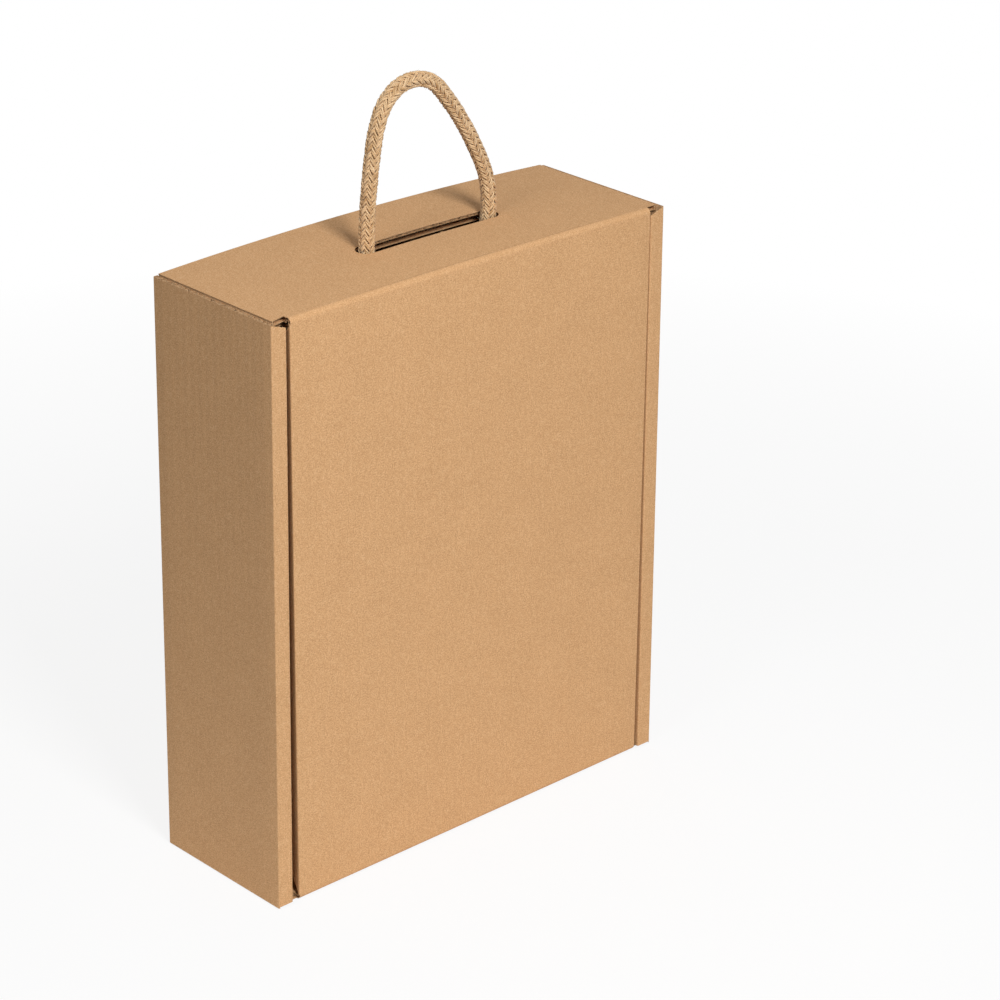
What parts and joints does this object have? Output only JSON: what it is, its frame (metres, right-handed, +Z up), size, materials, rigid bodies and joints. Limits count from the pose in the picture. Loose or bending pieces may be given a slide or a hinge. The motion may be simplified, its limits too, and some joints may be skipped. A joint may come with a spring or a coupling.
{
  "type": "bottle gift box",
  "caption": "Upright folding carry box in plain brown corrugated board, with double side walls, a hinged front lid, a closing flap over the top and a braided cord handle, for bottles.",
  "frame": {"origin": "middle of the base, on the surface the box stands on", "axes": "+Z up, X along the width, the lid at the front towards -Y"},
  "size_m": [0.2826, 0.096, 0.4268],
  "materials": {
    "board": "matte brown kraft paper over flutes",
    "cord": "braided natural fibre"
  },
  "bodies": {
    "tray": {"tray": "board", "handle_cord": "cord", "cord_knots": "cord"},
    "lid": {"lid": "board"},
    "closing_flap": {"closing_flap": "board"}
  },
  "joints": [
    {"name": "lid_hinge", "type": "hinge", "parent": "tray", "child": "lid", "pos_m": [0, -0.048, 0], "axis": [1, 0, 0], "range_deg": [0, 90], "deforming": ["handle_cord"]},
    {"name": "flap_hinge", "type": "hinge", "parent": "lid", "child": "closing_flap", "pos_m": [0, -0.048, 0.3362], "axis": [1, 0, 0], "range_deg": [0, 90], "deforming": ["handle_cord"]}
  ]
}
